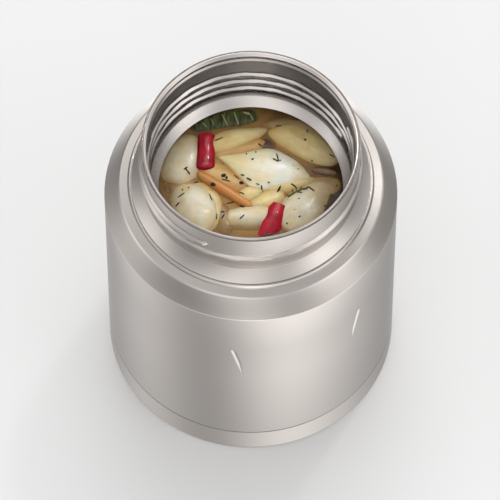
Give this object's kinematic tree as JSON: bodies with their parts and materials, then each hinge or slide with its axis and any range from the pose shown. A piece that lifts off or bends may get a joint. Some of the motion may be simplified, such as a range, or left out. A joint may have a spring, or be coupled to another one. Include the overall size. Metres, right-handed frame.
{
  "type": "vacuum food jar",
  "caption": "Open wide-mouth vacuum food jar in satin steel, with threaded neck, stepped shoulder and base cap, filled with vegetable soup.",
  "frame": {"origin": "centre of the base, on the surface that the jar stands on", "axes": "+Z is the jar's axis, from the base up through the mouth; +X and +Y lie in the base plane, and the plain front of the jar faces -Y"},
  "size_m": [0.099, 0.099, 0.1263],
  "materials": {
    "satin_steel": "satin",
    "liner_steel": "satin",
    "plain_steel": "as pressed",
    "seal_glass": "fired glass frit",
    "getter_alloy": "sintered",
    "copper_foil": "bright",
    "adhesive": "cured",
    "broth": "wet",
    "onion": "wet",
    "pepper": "wet",
    "carrot": "wet",
    "leaf": "wet"
  },
  "bodies": {
    "root": {"outer_shell": "satin_steel", "base_cap": "satin_steel", "inner_liner": "liner_steel", "liner_bottom": "liner_steel", "vacuum_base": "plain_steel", "getter_clip": "plain_steel", "seal_bead": "seal_glass", "getter": "getter_alloy", "foil_wrap": "copper_foil", "foil_disc": "copper_foil", "bond_ring": "adhesive", "broth": "broth", "onion_1": "onion", "onion_2": "onion", "onion_3": "onion", "onion_4": "onion", "onion_5": "onion", "onion_6": "onion", "onion_7": "onion", "onion_8": "onion", "onion_9": "onion", "pepper_1": "pepper", "pepper_2": "pepper", "carrot_strip": "carrot", "leaf_piece": "leaf"}
  },
  "joints": []
}
